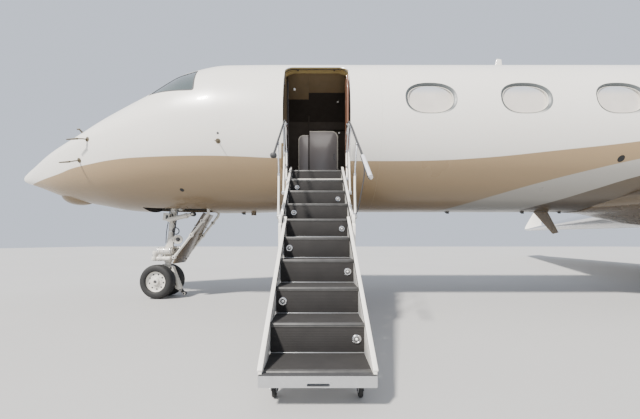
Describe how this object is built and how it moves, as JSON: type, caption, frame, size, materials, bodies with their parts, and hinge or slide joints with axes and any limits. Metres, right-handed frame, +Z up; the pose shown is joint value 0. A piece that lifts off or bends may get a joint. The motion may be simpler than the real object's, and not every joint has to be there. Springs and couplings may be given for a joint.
{
  "type": "business jet",
  "caption": "Twin-engine business jet with a T-tail, parked on its gear with the airstair down; control surfaces, wheels, fans, baggage door and stair fold move.",
  "frame": {"origin": "point on the ground under the middle of the overall length, on the plane of symmetry", "axes": "+X from nose to tail, +Y to starboard, +Z up"},
  "size_m": [29.39, 28.4472, 7.87],
  "materials": {
    "hull_paint": "gloss two-tone paint",
    "composite_paint": "gloss paint on composite",
    "wing_paint": "painted aluminium",
    "cockpit_glass": "tinted glass",
    "cabin_lining": "satin lining",
    "dark_panel": "matt panel",
    "cabinet_wood": "gloss veneer",
    "seat_leather": "soft leather",
    "engine_steel": "brushed metal",
    "gear_paint": "gloss grey-white paint",
    "tyre_rubber": "matt rubber",
    "stair_paint": "painted aluminium",
    "rail_metal": "satin metal"
  },
  "bodies": {
    "airframe": {"forward_fuselage": "hull_paint", "cabin_fuselage": "hull_paint", "aft_fuselage": "hull_paint", "tail_cone": "hull_paint", "radome": "composite_paint", "belly_fairing": "composite_paint", "nacelle_left": "composite_paint", "nacelle_right": "composite_paint", "winglet_left": "composite_paint", "winglet_right": "composite_paint", "fin": "composite_paint", "stabilizer": "composite_paint", "pylon_left": "composite_paint", "pylon_right": "composite_paint", "wing_left": "wing_paint", "wing_right": "wing_paint", "windshield_left": "cockpit_glass", "windshield_right": "cockpit_glass", "cockpit_window_left": "cockpit_glass", "cockpit_window_right": "cockpit_glass", "window_shades_left": "cabin_lining", "window_shades_right": "cabin_lining", "forward_partition": "cabin_lining", "aft_partition": "cabin_lining", "instrument_panel": "dark_panel", "cabin_floor": "dark_panel", "galley_cabinet": "cabinet_wood", "pilot_seat_left": "seat_leather", "pilot_seat_right": "seat_leather", "engine_left": "engine_steel", "engine_right": "engine_steel", "main_leg_left": "gear_paint", "main_leg_right": "gear_paint", "nose_leg": "gear_paint", "airstair_door": "stair_paint", "airstair_upper": "stair_paint", "handrail_left": "rail_metal", "handrail_right": "rail_metal"},
    "nose_steering": {"nose_steering": "gear_paint"},
    "nose_wheel_pair": {"nose_wheels": "tyre_rubber"},
    "left_main_wheels": {"main_wheels_left": "tyre_rubber"},
    "right_main_wheels": {"main_wheels_right": "tyre_rubber"},
    "left_fan": {"fan_left": "engine_steel"},
    "right_fan": {"fan_right": "engine_steel"},
    "left_flap": {"flap_left": "wing_paint"},
    "right_flap": {"flap_right": "wing_paint"},
    "left_aileron": {"aileron_left": "wing_paint"},
    "right_aileron": {"aileron_right": "wing_paint"},
    "rudder_surface": {"rudder": "composite_paint"},
    "left_elevator": {"elevator_left": "composite_paint"},
    "right_elevator": {"elevator_right": "composite_paint"},
    "baggage_hatch": {"baggage_door": "hull_paint"},
    "lower_stair_flight": {"airstair_lower": "stair_paint"}
  },
  "joints": [
    {"name": "nose_steering", "type": "hinge", "parent": "airframe", "child": "nose_steering", "pos_m": [-12.2, 0, 0.2855], "axis": [0.1132, 0, 0.9936], "range_deg": [-75, 84]},
    {"name": "nose_wheels", "type": "hinge", "parent": "nose_steering", "child": "nose_wheel_pair", "pos_m": [-12.25448, 0.00432, 0.29171], "axis": [0.0779, 0.9969, -0.0089], "continuous": true},
    {"name": "main_wheels_left", "type": "hinge", "parent": "airframe", "child": "left_main_wheels", "pos_m": [1.505, -2.185, 0.4445], "axis": [0, 1, 0], "continuous": true},
    {"name": "main_wheels_right", "type": "hinge", "parent": "airframe", "child": "right_main_wheels", "pos_m": [1.505, 2.185, 0.4445], "axis": [0, 1, 0], "continuous": true},
    {"name": "fan_left", "type": "hinge", "parent": "airframe", "child": "left_fan", "pos_m": [3.205, -2.05, 3.18], "axis": [1, 0, 0], "continuous": true},
    {"name": "fan_right", "type": "hinge", "parent": "airframe", "child": "right_fan", "pos_m": [3.205, 2.05, 3.18], "axis": [1, 0, 0], "continuous": true},
    {"name": "flap_left", "type": "hinge", "parent": "airframe", "child": "left_flap", "pos_m": [1.7551, -1.75, 1.6359], "axis": [-0.2819, 0.9594, -0.0128], "range_deg": [0, 39]},
    {"name": "flap_right", "type": "hinge", "parent": "airframe", "child": "right_flap", "pos_m": [1.7551, 1.75, 1.6359], "axis": [0.2819, 0.9594, 0.0128], "range_deg": [0, 39]},
    {"name": "aileron_left", "type": "hinge", "parent": "airframe", "child": "left_aileron", "pos_m": [3.7816, -9.05, 1.7353], "axis": [-0.2943, 0.9556, -0.0126], "range_deg": [-22, 22]},
    {"name": "aileron_right", "type": "hinge", "parent": "airframe", "child": "right_aileron", "pos_m": [3.7816, 9.05, 1.7353], "axis": [0.2943, 0.9556, 0.0126], "range_deg": [-22, 22]},
    {"name": "rudder", "type": "hinge", "parent": "airframe", "child": "rudder_surface", "pos_m": [10.3277, 0, 4.3], "axis": [0.505, 0, 0.8631], "range_deg": [-22, 22]},
    {"name": "elevator_left", "type": "hinge", "parent": "airframe", "child": "left_elevator", "pos_m": [12.6252, -0.42, 7.62], "axis": [-0.3369, 0.9416, 0], "range_deg": [-24, 13]},
    {"name": "elevator_right", "type": "hinge", "parent": "airframe", "child": "right_elevator", "pos_m": [12.6252, 0.42, 7.62], "axis": [0.3369, 0.9416, 0], "range_deg": [-24, 13]},
    {"name": "baggage_door", "type": "hinge", "parent": "airframe", "child": "baggage_hatch", "pos_m": [2.205, -1.168, 2.87], "axis": [-1, 0, 0], "range_deg": [0, 80]},
    {"name": "stair_fold", "type": "hinge", "parent": "airframe", "child": "lower_stair_flight", "pos_m": [-9.535, -2.15, 1.18494], "axis": [-1, 0, 0], "range_deg": [0, 172]}
  ],
  "couplings": [
    {"joint": "flap_right", "follows": "flap_left", "ratio": 1},
    {"joint": "elevator_right", "follows": "elevator_left", "ratio": 1},
    {"joint": "aileron_right", "follows": "aileron_left", "ratio": -1}
  ]
}
